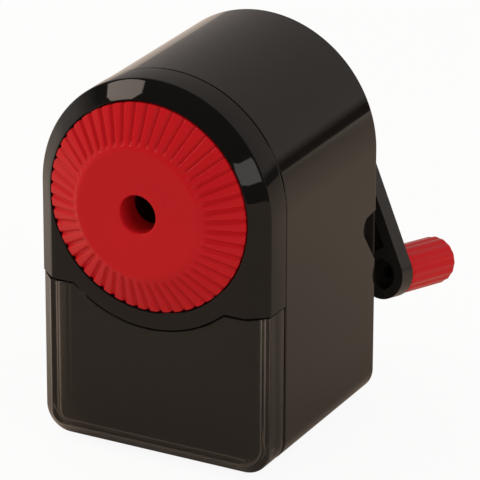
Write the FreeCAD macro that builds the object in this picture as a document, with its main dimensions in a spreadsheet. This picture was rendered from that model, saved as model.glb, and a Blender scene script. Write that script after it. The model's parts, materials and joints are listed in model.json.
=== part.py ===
import FreeCAD, Part
import math
import os
import re
import Sketcher

# A crank pencil sharpener for the desk. X runs to the right, Y from the pencil
# side to the crank, Z up from the table; the origin is under the body's middle.
os.makedirs("parts", exist_ok=True)
doc = FreeCAD.newDocument("sharpener")
dims = doc.addObject("Spreadsheet::Sheet", "dims")

SIZES = {
    # body and front
    "body_width": 60, "body_depth": 58, "axis_height": 63.4, "foot_height": 1,
    "corner_radius": 6.5, "shell_wall": 2.2, "band_depth": 10.9, "seam_gap": 0.7, "part_gap": 0.3,
    "bevel_width": 4.4, "bevel_depth": 3.9, "bezel_step": 0.25, "shoulder_drop": 22.6, "scoop_radius": 30.1,
    # dial and its bayonet
    "dial_radius": 25.5, "dial_rise": 4.8, "disc_radius": 15.8, "dial_wall": 2.2, "dial_gap": 0.3,
    "bore_radius": 4.65, "bore_length": 7.3, "bore_chamfer": 0.5,
    "flute_count": 50, "flute_radius": 0.6, "flute_depth": 0.4,
    "seat_depth": 4, "seat_floor": 2, "collar_radius": 11.8, "collar_wall": 1.8,
    "lug_count": 3, "lug_width": 8, "lug_reach": 2.8, "lug_thickness": 1.8, "lug_turn": 40,
    # drawer
    "drawer_inset": 0.3, "drawer_front": 2.6, "drawer_wall": 2.2, "inner_bevel": 2.6, "drawer_flange": 2,
    "tray_wall": 1.8, "slide_gap": 0.3,
    # rear cover, its bearing boss and the finger notch
    "cover_skirt": 12, "cover_wall": 1.8, "cover_plate": 2.2,
    "turret_length": 15, "turret_base": 14, "turret_tip": 9, "turret_chamfer": 1,
    "notch_top": 15.3, "notch_slant": 0.5, "notch_bottom": 29.4, "notch_depth": 5.2, "notch_round": 3.1,
    "lip_gap": 0.6, "lip_inset": 0.15, "lip_depth": 0.8,
    # screws, and the pad under the body
    "screw_radius": 1.4, "head_radius": 2.7, "head_height": 1.7, "head_sink": 0.4, "screw_gap": 0.05,
    "screw_margin": 6, "post_radius": 3.2, "block_radius": 4.2, "block_length": 6, "tab_length": 3,
    "bezel_post_side": 13, "bezel_post_turn": 45, "cover_post_drop": 17, "tool_run": 1,
    "pad_side": 9, "pad_margin": 4, "pad_corner": 5,
    # cutter unit, counted from the carrier's front plate and back from the rear edge; the gears
    # share the point where the tilted and the straight axis meet
    "cutter_tilt": 12, "cutter_radius": 6.5, "plate_place": 8.7, "plate_thickness": 3.5, "plate_gap": 2.8,
    "cutter_margin": 2.2, "cone_tip": 22, "cutter_rear": 20.6,
    "blade_count": 16, "blade_depth": 1.3, "blade_twist": 50,
    "pinion_teeth": 12, "ring_teeth": 26, "tooth_share": 0.42, "flank_angle": 20,
    "pinion_front": 18.8, "pinion_rear": 14.5, "ring_front": 18.6, "ring_rear": 12.8, "ring_radius": 13.6,
    "tube_wall": 1.9, "tube_step": 1.6, "axle_radius": 1.6, "axle_end": 10.4, "axle_inset": 0.6,
    "clip_radius": 3.2, "clip_height": 0.8, "web_radius": 8.2, "web_drop": 2,
    "hub_front": 13.2, "hub_rear": 4.4, "carrier_hub": 7.6, "guide_radius": 5, "guide_tip": 1,
    # drive shaft and its bearing
    "shaft_radius": 4, "shaft_front": 9.5, "run_gap": 0.04, "end_gap": 0.1, "clip_groove": 0.6,
    "bush_radius": 6.2, "flange_radius": 8.5, "flange_height": 1.2, "pin_radius": 1, "pin_place": 7,
    "pin_inset": 0.5, "square_side": 5.5, "tap_depth": 9,
    # crank and grip
    "crank_plane": 18.1, "crank_angle": 38.2, "crank_tilt": 12.7, "crank_length": 46.3,
    "crank_hub": 12.7, "crank_boss": 6.15, "arm_thickness": 4.6, "arm_rim": 2.8, "arm_pocket": 2.6,
    "hub_boss": 7, "hub_fore": 1.5, "hub_aft": 7, "cup_wall": 2.4, "rib_place": 5.5,
    "spindle_radius": 3.2, "spindle_bore": 1.45, "bead_height": 0.5, "bead_place": 3, "bead_length": 1.5,
    "grip_radius": 5.86, "grip_length": 19.6, "grip_end": 2.2, "grip_round": 0.8,
    "grip_chamfer": 0.4, "grip_gap": 0.3,
    "grip_flutes": 16, "grip_flute_radius": 1.5, "grip_flute_depth": 0.25,
}
for row, (alias, size) in enumerate(SIZES.items(), 1):
    dims.set(f"A{row}", alias)
    dims.set(f"B{row}", str(size))
    dims.setAlias(f"B{row}", alias)
doc.recompute()

# Shared places, as expressions over the sheet. Heights in outlines count from the pencil axis.
HALF = "(body_width / 2)"
AXIS = "(foot_height + axis_height)"
BASE = "(-axis_height)"
FRONT = "(-body_depth / 2)"
REAR = "(body_depth / 2)"
SEAM = f"({FRONT} + band_depth)"
SHELL_FRONT = f"({SEAM} + seam_gap)"
DISC = f"({FRONT} - dial_rise)"
SEAT = f"({FRONT} + seat_depth)"
SEAT_BACK = f"({SEAT} + seat_floor)"
SKIRT = f"({REAR} - cover_skirt)"
PLATE = f"({REAR} - cover_plate)"
TURRET = f"({REAR} + turret_length)"
INSIDE = f"({HALF} - shell_wall)"
CRANK = f"({REAR} + crank_plane)"
REACH = f"({HALF} - screw_margin)"
PLATE_FRONT = f"({FRONT} + plate_place)"
PLATE_REAR = f"({PLATE_FRONT} + plate_thickness)"
CUTTER_FRONT = f"({PLATE_REAR} + cutter_margin)"


def inboard(size):
    return f"({REAR} - {size})"


TIP = inboard("cone_tip")
APEX = f"({TIP} + cutter_radius / sin(cutter_tilt))"


def ex(text):
    """Spell a size expression out for the sheet."""
    return re.sub(r"[a-z][a-z_]+", lambda m: f"dims.{m[0]}" if m[0] in SIZES else m[0], str(text))


def num(text):
    result = dims.evalExpression(ex(text))
    return float(getattr(result, "Value", result))


def bind(item, **bindings):
    for name, text in bindings.items():
        item.setExpression(name.replace("__", "."), ex(text))


def arch(half, bottom, corner):
    """Round-topped outline with rounded lower corners."""
    return [(f"-({half}) + ({corner})", bottom), (f"({half}) - ({corner})", bottom, corner, 1),
            (half, f"({bottom}) + ({corner})"), (half, "0", half, 1), ("0", half, half, 1),
            (f"-({half})", "0"), (f"-({half})", f"({bottom}) + ({corner})", corner, 1)]


def cusp(radius, drop):
    return f"sqrt(({radius})^2 - ({drop})^2)"


def bezel_loop(half, drop, scoop):
    """Arch that ends in two shoulders with a scoop round the dial between them."""
    side = cusp(scoop, drop)
    return [(half, f"-({drop})"), (half, "0", half, 1), ("0", half, half, 1), (f"-({half})", "0"),
            (f"-({half})", f"-({drop})"), (f"-{side}", f"-({drop})", scoop, 1),
            ("0", f"-({scoop})", scoop, 1), (side, f"-({drop})")]


def drawer_loop(half, bottom, corner, drop, scoop):
    """Panel below the shoulders, hollowed by the scoop."""
    side = cusp(scoop, drop)
    return [(f"-({half}) + ({corner})", bottom), (f"({half}) - ({corner})", bottom, corner, 1),
            (half, f"({bottom}) + ({corner})"), (half, f"-({drop})"), (side, f"-({drop})", scoop, -1),
            ("0", f"-({scoop})", scoop, -1), (f"-{side}", f"-({drop})"), (f"-({half})", f"-({drop})"),
            (f"-({half})", f"({bottom}) + ({corner})", corner, 1)]


def tray_loop(half, bottom, corner, top):
    return [(f"-({half}) + ({corner})", bottom), (f"({half}) - ({corner})", bottom, corner, 1),
            (half, f"({bottom}) + ({corner})"), (half, top), (f"-({half})", top),
            (f"-({half})", f"({bottom}) + ({corner})", corner, 1)]


def square_loop(side):
    half = f"({side} / 2)"
    return [(f"-{half}", f"-{half}"), (half, f"-{half}"), (half, half), (f"-{half}", half)]


def turned(x, z, angle):
    return (f"({x}) * cos({angle}) - ({z}) * sin({angle})", f"({x}) * sin({angle}) + ({z}) * cos({angle})")


def arc(start, end, radius, turn):
    """Arc of less than half a turn from start to end, turning left for 1 and right for -1."""
    chord = end - start
    rise = math.sqrt(max(radius ** 2 - chord.Length ** 2 / 4, 0))
    normal = FreeCAD.Vector(-chord.y, chord.x, 0).normalize()
    middle = (start + end) / 2 + normal * rise * turn
    first, last = (start, end) if turn > 0 else (end, start)
    angles = [math.atan2(p.y - middle.y, p.x - middle.x) for p in (first, last)]
    if angles[1] < angles[0]:
        angles[1] += 2 * math.pi
    return Part.ArcOfCircle(Part.Circle(middle, FreeCAD.Vector(0, 0, 1), radius), *angles)


def draw(sketch, loop):
    """Closed outline whose corners and radii follow the sheet."""
    corners = [FreeCAD.Vector(num(p[0]), num(p[1]), 0) for p in loop]
    ids, heads, tails = [], [], []
    for i, point in enumerate(loop):
        ends = corners[i], corners[(i + 1) % len(loop)]
        bent = len(point) == 4
        curve = arc(*ends, num(point[2]), point[3]) if bent else Part.LineSegment(*ends)
        ids.append(sketch.addGeometry(curve))
        heads.append(2 if bent and point[3] < 0 else 1)
        tails.append(3 - heads[-1])
    for i, point in enumerate(loop):
        after = (i + 1) % len(loop)
        sketch.addConstraint(Sketcher.Constraint("Coincident", ids[i], tails[i], ids[after], heads[after]))
        places = (("DistanceX", point[0], corners[i].x), ("DistanceY", point[1], corners[i].y))
        for kind, text, size in places:
            fix = sketch.addConstraint(Sketcher.Constraint(kind, -1, 1, ids[i], heads[i], size))
            sketch.setExpression(f"Constraints[{fix}]", ex(text))
        if len(point) == 4:
            fix = sketch.addConstraint(Sketcher.Constraint("Radius", ids[i], num(point[2])))
            sketch.setExpression(f"Constraints[{fix}]", ex(point[2]))


def draw_circle(sketch, x, z, radius):
    centre = FreeCAD.Vector(num(x), num(z), 0)
    ring = sketch.addGeometry(Part.Circle(centre, FreeCAD.Vector(0, 0, 1), num(radius)))
    centred = (-1, 1, ring, 3)
    fixes = (("DistanceX", centred, x), ("DistanceY", centred, z), ("Radius", (ring,), radius))
    for kind, ends, text in fixes:
        fix = sketch.addConstraint(Sketcher.Constraint(kind, *ends, num(text)))
        sketch.setExpression(f"Constraints[{fix}]", ex(text))


BACK = FreeCAD.Vector(0, 1, 0)


class Piece:
    """A body built up from outlines drawn square to the pencil axis, or turned about it."""

    def __init__(self, name, lift=AXIS):
        self.body = doc.addObject("PartDesign::Body", name)
        self.lift = lift

    def sketch(self, role, loops, **place):
        plane = next(f for f in self.body.Origin.OriginFeatures if f.Role == role)
        sketch = self.body.newObject("Sketcher::SketchObject", "Outline")
        sketch.AttachmentSupport = [(plane, "")]
        sketch.MapMode = "FlatFace"
        for loop in loops:
            if isinstance(loop, tuple):
                draw_circle(sketch, *loop)
            else:
                draw(sketch, loop)
        offset = {f"AttachmentOffset__Base__{axis}": text for axis, text in place.items() if axis in "xyz"}
        bind(sketch, **offset)
        doc.recompute()
        return sketch

    def section(self, at, loops):
        return self.sketch("XZ_Plane", loops, y=self.lift, z=f"-({at})")

    def feature(self, kind, sketch):
        feature = self.body.newObject(f"PartDesign::{kind}", kind)
        feature.Profile = sketch
        return feature

    def add(self, near, far, *loops):
        pad = self.feature("Pad", self.section(near, loops))
        pad.Reversed = True
        bind(pad, Length=f"({far}) - ({near})")
        doc.recompute()
        return pad

    def cut(self, near, far, *loops):
        pocket = self.feature("Pocket", self.section(near, loops))
        bind(pocket, Length=f"({far}) - ({near})")
        doc.recompute()
        return pocket

    def loft(self, near, near_loop, far, far_loop, kind="AdditiveLoft"):
        loft = self.feature(kind, self.section(near, [near_loop]))
        loft.Sections = [self.section(far, [far_loop])]
        loft.Ruled = True
        doc.recompute()

    def turn(self, loop, kind="Revolution"):
        """Solid of revolution about the axis; the outline is given as (along, radius)."""
        sketch = self.sketch("YZ_Plane", [loop], y=self.lift)
        feature = self.feature(kind, sketch)
        feature.ReferenceAxis = (sketch, ["H_Axis"])
        feature.Angle = 360
        doc.recompute()
        return sketch

    def repeat(self, feature, axis, count):
        pattern = self.body.newObject("PartDesign::PolarPattern", "Pattern")
        pattern.Originals = [feature]
        pattern.Axis = axis
        pattern.Angle = 360
        bind(pattern, Occurrences=count)
        self.body.Tip = pattern
        doc.recompute()


def rod(name, radius, start, length, x="0", z="0", tilt="0", root="0"):
    """Cylinder along the pencil axis, or along the cutter axis through the gears' common point."""
    item = doc.addObject("Part::Cylinder", name)
    item.Placement = FreeCAD.Placement(FreeCAD.Vector(), FreeCAD.Rotation(FreeCAD.Vector(-1, 0, 0), 90))
    bind(item, Radius=radius, Height=length, Placement__Rotation__Angle=f"90 + {tilt}",
         Placement__Base__x=x, Placement__Base__y=f"({root}) + ({start}) * cos({tilt})",
         Placement__Base__z=f"{AXIS} + ({z}) - ({start}) * sin({tilt})")
    return item


def along(place):
    """Distance from the gears' common point, measured on the cutter axis, at a place along Y."""
    return f"((({place}) - {APEX}) / cos(cutter_tilt))"


def tilted_rod(name, radius, start, end):
    return rod(name, radius, along(start), f"{along(end)} - {along(start)}", tilt="cutter_tilt", root=APEX)


def fuse(name, items):
    item = doc.addObject("Part::MultiFuse", name)
    item.Shapes = items
    return item


def cut(name, base, tools):
    item = doc.addObject("Part::Cut", name)
    item.Base = base
    item.Tool = fuse(f"{name}_tools", tools) if len(tools) > 1 else tools[0]
    return item


def screws(name, seat, length, places):
    """Pan-head screws with their heads at the rear."""
    parts = []
    for x, z in places:
        parts.append(rod("Head", "head_radius", seat, "head_height", x, z))
        parts.append(rod("Shank", "screw_radius", f"({seat}) - ({length})", length, x, z))
    return fuse(name, parts)


def mirrored(x, z):
    return [(x, z), (f"-({x})", z)]


BEZEL_POSTS = mirrored(f"{REACH} * sin(bezel_post_turn)", f"{REACH} * cos(bezel_post_turn)")
BEZEL_POSTS += mirrored(REACH, "-bezel_post_side")
COVER_POSTS = [("0", REACH)] + mirrored(REACH, "-cover_post_drop")
SCREW_HOLE = "screw_radius + screw_gap"
TRAY_REAR = f"({SKIRT} - tool_run)"
HEAD_SEAT = f"({REAR} - head_height - head_sink)"


def make_main_shell():
    shell = Piece("main_shell")
    shell.add(SHELL_FRONT, REAR, arch(HALF, BASE, "corner_radius"))
    shell.cut(SHELL_FRONT, REAR, arch(INSIDE, f"{BASE} + shell_wall", "corner_radius - shell_wall"))
    tab_end = f"({SHELL_FRONT} + tab_length)"
    shell.add(SHELL_FRONT, tab_end, *[(x, z, "block_radius") for x, z in BEZEL_POSTS])
    shell.cut(SHELL_FRONT, tab_end, *[(x, z, SCREW_HOLE) for x, z in BEZEL_POSTS])
    block = f"({SKIRT} - block_length)"
    shell.add(block, SKIRT, *[(x, z, "block_radius") for x, z in COVER_POSTS])
    shell.cut(block, SKIRT, *[(x, z, SCREW_HOLE) for x, z in COVER_POSTS])
    deep = f"({REAR} - notch_depth)"
    notch = [(f"{REAR} + tool_run", "-notch_top"),
             (f"{deep} + 0.3 * notch_round", "-notch_top - notch_slant", "notch_round", 1),
             (deep, "-notch_top - notch_slant - 1.7 * notch_round"), (f"{REAR} + tool_run", "-notch_bottom")]
    pocket = shell.feature("Pocket", shell.sketch("YZ_Plane", [notch], y=AXIS))
    pocket.SideType = "Symmetric"
    bind(pocket, Length="2 * body_width")
    doc.recompute()
    return shell.body


def make_front_bezel():
    bezel = Piece("front_bezel")
    inner, bevel_end = f"({HALF} - bevel_width)", f"({FRONT} + bevel_depth)"
    face, outer = ("shoulder_drop", "scoop_radius"), f"({HALF} + bezel_step)"
    bezel.loft(FRONT, bezel_loop(inner, *face), bevel_end, bezel_loop(outer, *face))
    bezel.add(bevel_end, SEAM, bezel_loop(outer, *face))
    bezel.cut(SEAT_BACK, SEAM, bezel_loop(INSIDE, "shoulder_drop - shell_wall", "scoop_radius - shell_wall"))
    bezel.cut(f"{FRONT} - tool_run", SEAT, ("0", "0", "dial_radius + dial_gap"))
    hole = "(collar_radius + dial_gap)"
    bezel.cut(f"{FRONT} - tool_run", SEAT_BACK, ("0", "0", hole))
    half, reach = "(lug_width / 2 + dial_gap)", "(collar_radius + lug_reach + dial_gap)"
    edge = "(collar_radius / 2)"
    gate = [(f"-{half}", edge), (half, edge), (half, reach), (f"-{half}", reach)]
    gate = [turned(x, z, "lug_turn") for x, z in gate]
    slot = bezel.cut(f"{FRONT} - tool_run", SEAT_BACK, gate)
    bezel.repeat(slot, (slot.Profile[0], ["N_Axis"]), "lug_count")
    bezel.add(SEAT_BACK, SHELL_FRONT, *[(x, z, "post_radius") for x, z in BEZEL_POSTS])
    bezel.cut(SEAT_BACK, SHELL_FRONT, *[(x, z, SCREW_HOLE) for x, z in BEZEL_POSTS])
    return bezel.body


def make_adjuster_dial():
    dial = Piece("adjuster_dial")
    back, under = f"({SEAT} - part_gap)", f"({DISC} + dial_wall)"
    lug_rear = f"({SEAT_BACK} + part_gap + lug_thickness)"
    inner, tube = "(collar_radius - collar_wall)", "(bore_radius + collar_wall)"
    bore_end = f"({DISC} + bore_length)"
    profile = [(DISC, "bore_radius + bore_chamfer"), (DISC, "disc_radius"), (FRONT, "dial_radius"),
               (back, "dial_radius"), (back, "dial_radius - dial_wall"),
               (f"{FRONT} + tool_run", "dial_radius - dial_wall"), (under, "disc_radius"),
               (under, "collar_radius"), (lug_rear, "collar_radius"), (lug_rear, inner),
               (under, inner), (under, tube), (bore_end, tube), (bore_end, "bore_radius"),
               (f"{DISC} + bore_chamfer", "bore_radius")]
    axis = dial.turn(profile)
    half, reach = "(lug_width / 2)", "(collar_radius + lug_reach)"
    inside = "(collar_radius - collar_wall / 2)"
    lug = [(f"-{half}", inside), (half, inside), (half, reach), (f"-{half}", reach)]
    pad = dial.add(f"{SEAT_BACK} + part_gap", lug_rear, lug)
    dial.repeat(pad, (axis, ["H_Axis"]), "lug_count")
    slope = "atan2(dial_rise; dial_radius - disc_radius)"
    sketch = dial.sketch("XY_Plane", [("0", "0", "flute_radius")])
    sketch.AttachmentOffset = FreeCAD.Placement(
        FreeCAD.Vector(), FreeCAD.Rotation(FreeCAD.Vector(1, 0, 0), 1))
    proud = "(flute_radius - flute_depth)"
    bind(sketch, AttachmentOffset__Rotation__Angle=f"-({slope})",
         AttachmentOffset__Base__y=f"{FRONT} - {proud} * cos({slope}) + tool_run * sin({slope})",
         AttachmentOffset__Base__z=f"{AXIS} + dial_radius + {proud} * sin({slope}) + tool_run * cos({slope})")
    doc.recompute()
    flute = dial.feature("Pocket", sketch)
    bind(flute, Length="sqrt(dial_rise^2 + (dial_radius - disc_radius)^2) + tool_run")
    doc.recompute()
    dial.repeat(flute, (axis, ["H_Axis"]), "flute_count")
    return dial.body


def make_shavings_drawer():
    drawer = Piece("shavings_drawer")
    half, corner = f"({HALF} - drawer_inset)", "(corner_radius)"
    top = "(shoulder_drop + part_gap)", "(scoop_radius + part_gap)"
    bevel_end = f"({FRONT} + bevel_depth)"
    narrow = drawer_loop(f"{half} - bevel_width", f"{BASE} + bevel_width", f"{corner} - bevel_width", *top)
    drawer.loft(FRONT, narrow, bevel_end, drawer_loop(half, BASE, corner, *top))
    drawer.add(bevel_end, SEAM, drawer_loop(half, BASE, corner, *top))
    side = f"({INSIDE} - slide_gap)"
    floor, lip = f"({BASE} + shell_wall + slide_gap)", "(-shoulder_drop - 2 * part_gap)"
    bend = "(corner_radius - shell_wall)"
    drawer.add(SEAM, TRAY_REAR, tray_loop(side, floor, bend, lip))
    hollow = tray_loop(f"{side} - tray_wall", f"{floor} + tray_wall", f"{bend} - tray_wall", "0")
    front = f"({FRONT} + drawer_front)"
    drawer.cut(front, f"{TRAY_REAR} - tray_wall", hollow)
    narrow, wide = (tray_loop(f"{half} - ({wall})", f"{BASE} + {wall}", f"{corner} - ({wall})", "0")
                    for wall in ("drawer_wall + inner_bevel", "drawer_wall"))
    slope_end = f"({front} + inner_bevel * bevel_depth / bevel_width)"
    drawer.loft(front, narrow, slope_end, wide, "SubtractiveLoft")
    drawer.cut(slope_end, f"{SEAM} - drawer_flange", wide)
    drawer.cut(SEAM, TRAY_REAR, ("0", "0", "scoop_radius + 2 * part_gap"))
    return drawer.body


def make_rear_cover():
    cover = Piece("rear_cover")
    gap = "part_gap / 2"
    outer = arch(f"{INSIDE} - {gap}", f"{BASE} + shell_wall + {gap}", f"corner_radius - shell_wall - {gap}")
    inner = arch(f"{INSIDE} - {gap} - cover_wall", f"{BASE} + shell_wall + {gap} + cover_wall",
                 f"corner_radius - shell_wall - {gap} - cover_wall")
    cover.add(PLATE, REAR, outer)
    cover.add(SKIRT, PLATE, outer, inner)
    ring = inboard("ring_front")
    cover.add(ring, PLATE, ("0", "0", "ring_radius + tube_wall"), ("0", "0", "ring_radius - tube_step"))
    cover.cut(ring, inboard("ring_rear"), ("0", "0", "ring_radius"))
    cover.turn([(REAR, "0"), (REAR, "turret_base"), (f"{TURRET} - turret_chamfer", "turret_tip"),
                (TURRET, "turret_tip - turret_chamfer"), (TURRET, "0")])
    cover.cut(PLATE, TURRET, ("0", "0", "bush_radius"))
    inside, reach, top = f"{INSIDE} - cover_wall", f"{HALF} - lip_inset", "-notch_top - lip_gap"
    slope = "(notch_bottom - notch_top - notch_slant - 1.7 * notch_round) / (notch_depth + tool_run)"
    lows = [f"lip_gap - notch_bottom + ({depth} + tool_run) * {slope}" for depth in ("lip_depth", "0")]
    for side in ("1", "-1"):
        foot, head = ([(f"{side} * ({x})", z) for x, z in
                       ((inside, low), (reach, low), (reach, top), (inside, top))] for low in lows)
        cover.loft(f"{REAR} - lip_depth", foot, REAR, head)
    cover.add(SKIRT, REAR, *[(x, z, "post_radius") for x, z in COVER_POSTS])
    cover.cut(SKIRT, REAR, *[(x, z, SCREW_HOLE) for x, z in COVER_POSTS])
    cover.cut(HEAD_SEAT, REAR, *[(x, z, "head_radius + part_gap") for x, z in COVER_POSTS])
    return cover.body


def toothed(count, share, pitch, inner, outer, along_axis, shift):
    """Wire of straight-flanked teeth round the Y axis."""
    lean = math.tan(math.radians(num("flank_angle"))) / pitch
    half = [share * math.pi / count - (r - pitch) * lean for r in (inner, outer)]
    points = []
    for i in range(count):
        middle = 2 * math.pi * i / count + shift
        for radius, angle in ((inner, -half[0]), (outer, -half[1]), (outer, half[1]), (inner, half[0])):
            points.append(FreeCAD.Vector(radius * math.sin(middle + angle), along_axis,
                                         radius * math.cos(middle + angle)))
    return Part.makePolygon(points + points[:1])


def cone_gear(slope, count, share, tip, root, near, far):
    """Straight bevel teeth between two distances in front of the common point."""
    wires = []
    for reach in (near, far):
        pitch = reach * math.tan(slope)
        module = 2 * pitch / count
        wires.append(toothed(count, share, pitch, pitch + tip * module, pitch + root * module, -reach, 0))
    return Part.makeLoft(wires, True, True)


def gear_slopes():
    tilt = math.radians(num("cutter_tilt"))
    pinion = math.atan(math.sin(tilt) / (num("ring_teeth / pinion_teeth") - math.cos(tilt)))
    return pinion, pinion + tilt


def place(item, tilt):
    item.Placement = FreeCAD.Placement(FreeCAD.Vector(0, num(APEX), num(AXIS)),
                                       FreeCAD.Rotation(FreeCAD.Vector(1, 0, 0), -tilt))
    return item


def make_ring_gear():
    item = doc.addObject("Part::Feature", "ring_gear")
    front, rear = [num(f"{APEX} - {inboard(size)}") for size in ("ring_front", "ring_rear")]
    blank = Part.makeCylinder(num("ring_radius"), front - rear, FreeCAD.Vector(0, -front, 0), BACK)
    count, share = int(num("ring_teeth")), 1 - num("tooth_share")
    run = num("tool_run")
    hollow = cone_gear(gear_slopes()[1], count, share, -0.6, 1.0, front + run, rear - run)
    item.Shape = blank.cut(hollow)
    return place(item, 0)


def axle_bore(start, end):
    """Hole for the cutter axle, run out past both ends."""
    run = num("tool_run")
    return Part.makeCylinder(num("axle_radius + run_gap"), end - start + 2 * run,
                             FreeCAD.Vector(0, start - run, 0), BACK)


def make_cutter_pinion():
    item = doc.addObject("Part::Feature", "cutter_pinion")
    front, rear = [-num(along(inboard(size))) for size in ("pinion_front", "pinion_rear")]
    teeth = cone_gear(gear_slopes()[0], int(num("pinion_teeth")), num("tooth_share"), -0.95, 0.7, front, rear)
    item.Shape = teeth.cut(axle_bore(-front, -rear))
    return place(item, num("cutter_tilt"))


def make_helical_cutter():
    """Ratchet-shaped blades wound round the barrel, in short twisted lengths."""
    item = doc.addObject("Part::Feature", "helical_cutter")
    places = CUTTER_FRONT, inboard("cutter_rear"), inboard("pinion_front")
    start, rear, end = [num(along(p)) for p in places]
    radius, depth, count = num("cutter_radius"), num("blade_depth"), int(num("blade_count"))
    steps = 6
    wires = []
    for step in range(steps + 1):
        twist = math.radians(num("blade_twist")) * step / steps
        points = []
        for i in range(count):
            for share, r in ((0.0, radius), (0.18, radius), (0.3, radius - depth), (0.75, radius - depth)):
                angle = 2 * math.pi * (i + share) / count + twist
                points.append(FreeCAD.Vector(r * math.sin(angle), start + (rear - start) * step / steps,
                                             r * math.cos(angle)))
        wires.append(Part.makePolygon(points + points[:1]))
    run = num("tool_run")
    neck = Part.makeCylinder(num("axle_radius") * 2, end - rear + run, FreeCAD.Vector(0, rear - run, 0), BACK)
    item.Shape = Part.makeLoft(wires, True, False).fuse(neck).cut(axle_bore(start, end))
    return place(item, num("cutter_tilt"))


CLIP_SEAT = f"({PLATE_FRONT} + 2 * clip_height)"


def make_cutter_carrier():
    frame = Piece("carrier_frame")
    frame.add(PLATE_FRONT, PLATE_REAR, ("0", "0", f"{REACH} - block_radius - plate_gap"))
    side = cusp("web_radius", "web_drop")
    web = [(f"-{side}", "-web_drop", "web_radius", 1), ("0", "-web_radius", "web_radius", 1),
           (side, "-web_drop")]
    frame.add(PLATE_FRONT, inboard("hub_front"), web)
    frame.add(inboard("hub_front"), inboard("hub_rear"), ("0", "0", "carrier_hub"))
    nose = f"({TIP} - (guide_radius - guide_tip) / tan(cutter_tilt))"
    mouth = f"({PLATE_FRONT} - tool_run)"
    guide = [(mouth, "0"), (mouth, "guide_radius"), (nose, "guide_radius"), (TIP, "guide_tip"), (TIP, "0")]
    frame.turn(guide, "Groove")
    frame.cut(inboard("shaft_front"), inboard("hub_rear"), ("0", "0", "shaft_radius + screw_gap"))
    bore = tilted_rod("AxleHole", "axle_radius", f"{PLATE_FRONT} - 3 * tool_run", inboard("axle_end"))
    recess = tilted_rod("ClipRecess", "clip_radius + part_gap", f"{PLATE_FRONT} - 4 * tool_run", CLIP_SEAT)
    return cut("cutter_carrier", frame.body, [bore, recess, cross_pin("PinHole")])


def cross_pin(name):
    """Pin across the shaft and the carrier's hub."""
    item = doc.addObject("Part::Cylinder", name)
    item.Placement = FreeCAD.Placement(FreeCAD.Vector(), FreeCAD.Rotation(FreeCAD.Vector(0, 1, 0), 90))
    bind(item, Radius="pin_radius", Height="2 * (carrier_hub - pin_inset)",
         Placement__Base__x="pin_inset - carrier_hub", Placement__Base__y=inboard("pin_place"),
         Placement__Base__z=AXIS)
    return item


def make_drive_shaft():
    shaft = Piece("shaft_bar")
    clip_front = f"({TURRET} + end_gap)"
    end = f"({CRANK} + hub_aft - pin_inset)"
    shaft.add(inboard("shaft_front"), f"{CRANK} - hub_fore", ("0", "0", "shaft_radius"))
    square = [turned(x, z, "crank_angle") for x, z in square_loop("square_side")]
    shaft.add(f"{CRANK} - hub_fore", end, square)
    shaft.cut(f"{end} - tap_depth", end, ("0", "0", SCREW_HOLE))
    groove = ("0", "0", "shaft_radius + tool_run"), ("0", "0", "shaft_radius - clip_groove")
    shaft.cut(clip_front, f"{clip_front} + clip_height", *groove)
    return cut("drive_shaft", shaft.body, [cross_pin("ShaftPinHole")])


def ring_piece(name, outer, inner, near, far):
    piece = Piece(name)
    piece.add(near, far, ("0", "0", outer), ("0", "0", inner))
    return piece.body


def make_shaft_bush():
    bush = Piece("shaft_bush")
    inner, flange = "(shaft_radius + run_gap)", f"({PLATE} - flange_height)"
    bush.turn([(flange, inner), (flange, "flange_radius"), (PLATE, "flange_radius"), (PLATE, "bush_radius"),
               (TURRET, "bush_radius"), (TURRET, inner)])
    return bush.body


def make_crank_arm():
    """Channelled arm that leans to the body, with a hub on the shaft and a hollow spindle for the grip."""
    arm = Piece("crank_arm", lift="0")
    lean = "((crank_hub - crank_boss) / crank_length)"
    level = f"sqrt(1 - {lean}^2)"
    hub, boss = (f"crank_hub * {level}", f"-crank_hub * {lean}"), \
        (f"crank_boss * {level}", f"-crank_length - crank_boss * {lean}")
    edge = [(*hub, "crank_hub", 1), ("0", "crank_hub", "crank_hub", 1), (f"-{hub[0]}", hub[1]),
            (f"-{boss[0]}", boss[1], "crank_boss", 1),
            ("0", "-crank_length - crank_boss", "crank_boss", 1), boss]
    arm.add("0", "arm_thickness", edge)
    ends = ["hub_boss + arm_rim", "crank_length - rib_place"]
    wide = [f"((crank_hub - ({s}) * {lean}) / {level} - arm_rim)" for s in ends]
    arm.cut("0", "arm_pocket", [(f"-{wide[1]}", f"-({ends[1]})"), (wide[1], f"-({ends[1]})"),
                                (wide[0], f"-({ends[0]})"), (f"-{wide[0]}", f"-({ends[0]})")])
    arm.cut("0", "arm_pocket", ("0", "-crank_length", "crank_boss - cup_wall"))
    spindle_end = "(arm_thickness + grip_gap + grip_length - grip_end - grip_gap)"
    bead = f"({spindle_end} - bead_place)"
    arm.add("arm_pocket", spindle_end, ("0", "-crank_length", "spindle_radius"))
    arm.add(bead, f"{bead} + bead_length", ("0", "-crank_length", "spindle_radius + bead_height"))
    arm.cut("0", spindle_end, ("0", "-crank_length", "spindle_bore"))
    for kind, loop in (("Pad", ("0", "0", "hub_boss")), ("Pocket", square_loop("square_side"))):
        sketch = arm.sketch("XZ_Plane", [loop])
        sketch.AttachmentOffset = FreeCAD.Placement(
            FreeCAD.Vector(), FreeCAD.Rotation(FreeCAD.Vector(1, 0, 0), 1))
        bind(sketch, AttachmentOffset__Rotation__Angle="crank_tilt",
             AttachmentOffset__Base__y="-hub_fore * sin(crank_tilt)",
             AttachmentOffset__Base__z="hub_fore * cos(crank_tilt)")
        doc.recompute()
        feature = arm.feature(kind, sketch)
        feature.Reversed = kind == "Pad"
        bind(feature, Length="hub_fore + hub_aft")
        doc.recompute()
    return lean_with_crank(arm.body)


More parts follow.
